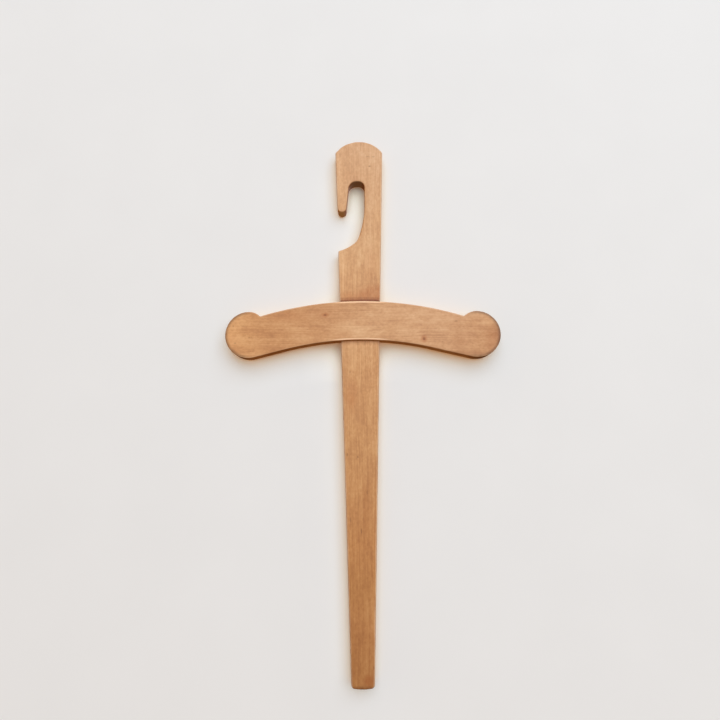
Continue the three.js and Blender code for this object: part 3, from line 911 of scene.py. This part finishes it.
def backdrop():
    """A pale sheet right behind the hanger, seen by the camera only, and see-through from behind. The
    warm tint beside the wood and the softened shadows are painted on it: they aren't light from the wood."""
    middle = Vector((0, BAR_BACK + BACKDROP_GAP, (HEAD_TOP + BAR_END) / 2))
    half = BACKDROP_SIZE / 2
    corners = ((-half, -half), (half, -half), (half, half), (-half, half))
    mesh = bpy.data.meshes.new("backdrop")
    mesh.from_pydata([(middle.x + x, middle.y, middle.z + z) for x, z in corners], [], [(0, 1, 2, 3)])
    sheet = placed("backdrop", mesh)
    sheet.visible_diffuse = sheet.visible_glossy = sheet.visible_transmission = False
    sheet.visible_volume_scatter = sheet.visible_shadow = False
    s = Shader("backdrop")
    weave = s.noise(s.add("TexCoord").outputs["Object"], 9, 3)
    shade = s.ramp(weave, ((0.3, tuple(0.985 * c for c in PALE)), (0.7, PALE)))
    enclosed = s.maths("SUBTRACT", 1.0, s.add("AmbientOcclusion", {"Distance": GLOW_REACH}).outputs["AO"])
    open_enough = s.step(enclosed, *GLOW_FADE, 1, 0)
    beside = s.maths("MULTIPLY", s.maths("MULTIPLY", enclosed, enclosed), open_enough)
    shade = s.mix(beside, shade, s.mix(1.0, shade, GLOW, "MULTIPLY"))
    aim = s.combine(*(Vector(KEY_PLACE) * SHADE_LEAN).normalized())
    shaded = s.add("AmbientOcclusion", {"Distance": SHADE_REACH, "Normal": aim}).outputs["AO"]
    shaded = s.maths("SUBTRACT", 1.0, shaded)
    open_enough = s.step(enclosed, *SHADE_FADE, 1, 0)
    shaded = s.maths("MULTIPLY", s.maths("MULTIPLY", shaded, shaded), open_enough)
    shade = s.mix(shaded, shade, s.mix(1.0, shade, SHADE, "MULTIPLY"))
    cloth = s.add("BsdfDiffuse", {"Color": shade}).outputs[0]
    away = s.vector("SUBTRACT", s.add("TexCoord").outputs["Object"], tuple(middle))
    clear = s.step(s.vector("LENGTH", away), 0.65 * half, 0.98 * half)
    back = s.add("NewGeometry").outputs["Backfacing"]
    see_through = s.add("BsdfTransparent").outputs[0]
    mixed = s.add("MixShader", {0: s.maths("MAXIMUM", clear, back), 1: cloth, 2: see_through}).outputs[0]
    s.tree.links.new(mixed, s.output.inputs["Surface"])
    mesh.materials.append(s.material)


def world():
    sky = bpy.data.worlds.new("studio")
    bpy.context.scene.world = sky
    sky.use_nodes = True
    tree = sky.node_tree
    tree.nodes.clear()
    fill = tree.nodes.new("ShaderNodeBackground")
    fill.inputs["Color"].default_value = (1, 0.62, 0.31, 1)
    direction = tree.nodes.new("ShaderNodeTexCoord")
    height = tree.nodes.new("ShaderNodeSeparateXYZ")
    strength = tree.nodes.new("ShaderNodeMapRange")
    strength.interpolation_type = "SMOOTHSTEP"
    for key, value in {"From Min": -0.8, "From Max": 0.8, "To Min": 0.28, "To Max": 0.60}.items():
        strength.inputs[key].default_value = value
    tree.links.new(direction.outputs["Generated"], height.inputs[0])
    tree.links.new(height.outputs["Z"], strength.inputs["Value"])
    tree.links.new(strength.outputs[0], fill.inputs["Strength"])
    seen = tree.nodes.new("ShaderNodeBackground")
    seen.inputs["Color"].default_value = (0.80, 0.79, 0.775, 1)
    seen.inputs["Strength"].default_value = 1.0
    path = tree.nodes.new("ShaderNodeLightPath")
    mix = tree.nodes.new("ShaderNodeMixShader")
    out = tree.nodes.new("ShaderNodeOutputWorld")
    tree.links.new(path.outputs["Is Camera Ray"], mix.inputs[0])
    tree.links.new(fill.outputs[0], mix.inputs[1])
    tree.links.new(seen.outputs[0], mix.inputs[2])
    tree.links.new(mix.outputs[0], out.inputs["Surface"])


def stage():
    camera()
    backdrop()
    world()
    middle = (0, 0, -0.3)
    lamp("key", KEY_PLACE, middle, (8.0, 8.0), 500, (0.68, 0.88, 1.05))
    lamp("rear", (1.1, 2.2, 0.8), middle, (1.2, 1.2), 34, (0.86, 0.94, 1.0))
    bpy.context.scene.view_settings.view_transform = "Standard"


# ---------------------------------------------------------------- assembly

THROUGH = 60  # half extent along y of a stain that goes right through a board
SKIN = 6  # and of a mark on the front

# Tints along the upright: darker and redder towards the handle's end, as handled wood is; paler and greyer
# towards the head, a painted sheen.
BAR_TINTS = (
    (-716, (0.71, 0.59, 0.36)),
    (-640, (0.815, 0.695, 0.465)),
    (-590, (0.815, 0.70, 0.445)),
    (-530, (0.90, 0.78, 0.515)),
    (-400, (1.005, 0.97, 0.745)),
    (-260, (1.06, 1.035, 0.85)),
    (-180, (1.13, 1.155, 1.03)),
    (-100, (1.13, 1.21, 1.16)),
    (66, (1.14, 1.26, 1.36)),
)
BAR_STAINS_AND_PAINTED_LIGHT = (
    ((-25, 0, -8), (7, THROUGH, 62), (1.10, 1.13, 1.15), 0.9),
    ((35, 0, 30), (7, THROUGH, 26), (1.06, 1.10, 1.17), 0.9),
    ((32, 0, -72), (7, THROUGH, 32), (1.08, 1.11, 1.13), 0.9),
    ((-2, 0, 9), (16, THROUGH, 8), (0.94, 0.88, 0.83), 0.9),
    ((-24, 0, -140), (7, THROUGH, 30), (1.10, 1.14, 1.18), 0.9),
    ((28, 0, -178), (24, THROUGH, 13), (0.72, 0.48, 0.31), 1.0),
    ((-10, 0, -182), (22, THROUGH, 8), (0.88, 0.74, 0.62), 0.8),
    ((20, 0, -130), (9, THROUGH, 26), (0.93, 0.84, 0.78), 0.7),
    # A paler strip just below the shoulder board: painted light that lifts the shade the board casts on the
    # upright.
    ((4, 0, -252), (34, THROUGH, 5), (1.14, 1.15, 1.18), 1.0),
    ((-10, 0, -327), (10, THROUGH, 22), (0.88, 0.74, 0.62), 0.9),
    ((11, 0, -480), (5, THROUGH, 34), (0.84, 0.74, 0.64), 0.9),
    ((20, 0, -590), (4, THROUGH, 55), (1.10, 1.14, 1.18), 0.9),
    ((-8, 0, -664), (7, THROUGH, 28), (0.88, 0.82, 0.76), 0.7),
    ((12, 0, -704), (7, THROUGH, 7), (0.82, 0.60, 0.45), 0.8),
    # A dark band along the handle's bottom end.
    ((4, 0, -715), (20, THROUGH, 4), (0.50, 0.40, 0.33), 1.0),
)
BAR_FLECKS = (
    ((17.8, -10, 40.1), (3.0, SKIN, 0.5), 0.55),
    ((26.3, -10, 39.9), (2.6, SKIN, 0.6), 0.45),
    ((20.3, -10, 24.5), (1.7, SKIN, 0.9), 0.6),
    ((-11.1, -10, -293), (0.7, SKIN, 2.0), 0.5),
    ((-0.6, -10, -413.3), (1.1, SKIN, 1.6), 0.6),
    ((-15.6, -10, -410.0), (1.0, SKIN, 2.2), 0.6),
    ((11.8, -10, -461.5), (1.2, SKIN, 3.0), 0.35),
    ((-11.2, -10, -498.5), (0.9, SKIN, 3.6), 0.5),
    ((3.4, -10, -513.5), (0.9, SKIN, 3.4), 0.65),
    ((18.7, -10, -688), (0.9, SKIN, 2.4), 0.6),
)
# Painted shade on the sides inside the hook's throat.
HOOK_INSIDE = (((-2, 0, -22), (26, THROUGH, 34)),)
# End grain recoloured: darker as painted shade on the throat's crown, lighter as painted light under the
# prong's tip.
HOOK_ENDS = (
    ((-4, 0, -3), (17, THROUGH, 12), (0.39, 0.265, 0.175)),
    ((-26, 0, -48), (10, THROUGH, 9), (0.66, 0.44, 0.22)),
)
CROSSBAR_TINTS = (
    (-192, (1.22, 1.21, 1.00)),
    (-130, (1.00, 0.93, 0.725)),
    (-60, (1.01, 0.965, 0.805)),
    (20, (1.09, 1.13, 1.085)),
    (120, (1.09, 1.14, 1.14)),
    (206, (0.97, 0.92, 0.785)),
)
CROSSBAR_STAINS = (
    ((198, 0, -250), (12, THROUGH, 20), (0.82, 0.67, 0.54), 0.9),
    ((204, 0, -234), (7, THROUGH, 22), (0.84, 0.78, 0.74), 0.9),
    ((147, 0, -246), (8, THROUGH, 17), (0.86, 0.78, 0.70), 0.9),
    ((182, 0, -222), (18, THROUGH, 8), (1.06, 1.09, 1.12), 0.9),
    ((-186, 0, -248), (18, THROUGH, 12), (0.90, 0.80, 0.70), 0.8),
    ((-172, 0, -226), (16, THROUGH, 7), (1.04, 1.06, 1.08), 0.9),
    ((-96, 0, -212), (26, THROUGH, 7), (0.92, 0.82, 0.74), 0.7),
    ((-48, 0, -206), (34, THROUGH, 9), (0.93, 0.88, 0.84), 0.9),
    ((15, 0, -235), (24, THROUGH, 9), (1.05, 1.10, 1.14), 0.9),
)
CROSSBAR_FLECKS = (
    ((142.7, -17, -220.8), (2.6, SKIN, 0.9), 0.5),
    ((-179.5, -17, -226), (0.9, SKIN, 1.3), 0.4),
    ((-165, -17, -226), (3.2, SKIN, 0.7), 0.3),
    ((-156, -17, -243), (1.1, SKIN, 1.0), 0.4),
    ((-176, -17, -251), (1.8, SKIN, 0.9), 0.4),
)
CROSSBAR_KNOTS = (
    ((-46.8, -17, -210.3), (2.0, SKIN, 1.3), 0.75),
    ((96.0, -17, -246.6), (1.7, SKIN, 2.1), 0.75),
)
# Bright edges over the upright: the upper one rubbed and with a painted highlight, the lower one rubbed.
CROSSBAR_POLISHED_AND_LIT = (((4, -17, -190.5), (36, THROUGH, 4)), ((4, -17, -247), (38, THROUGH, 4)))


def bar_wood():
    wood = Wood("bar_wood", along_x=False, seed=1.3, cloudy=0.56, streaky=0.58)
    wood.tint_along(BAR_TINTS)
    wood.flame(tip_x=18.8, tip_z=-316, spread=0.85, height=110)
    wood.tint_patches(BAR_STAINS_AND_PAINTED_LIGHT)
    wood.joint_shade_and_dirt()
    wood.mark(BAR_FLECKS, ())
    wood.edge_wear_light_and_shade(shaded_sides=HOOK_INSIDE, end_light_and_shade=HOOK_ENDS)
    return wood.finish()


def crossbar_wood():
    wood = Wood("crossbar_wood", along_x=True, seed=2.7, cloudy=0.75, streaky=0.44)
    wood.tint_along(CROSSBAR_TINTS)
    wood.tint_patches(CROSSBAR_STAINS)
    wood.mark(CROSSBAR_FLECKS, CROSSBAR_KNOTS)
    wood.edge_wear_light_and_shade(worn=0.6, polished_and_lit=CROSSBAR_POLISHED_AND_LIT, dirty_beyond=150)
    return wood.finish()


places = screw_places()
hook_bar(places.values(), bar_wood())
crossbar(places.values(), crossbar_wood())
screw_steel = steel()
for node, place in places.items():
    screw(node, place, screw_steel)
stage()
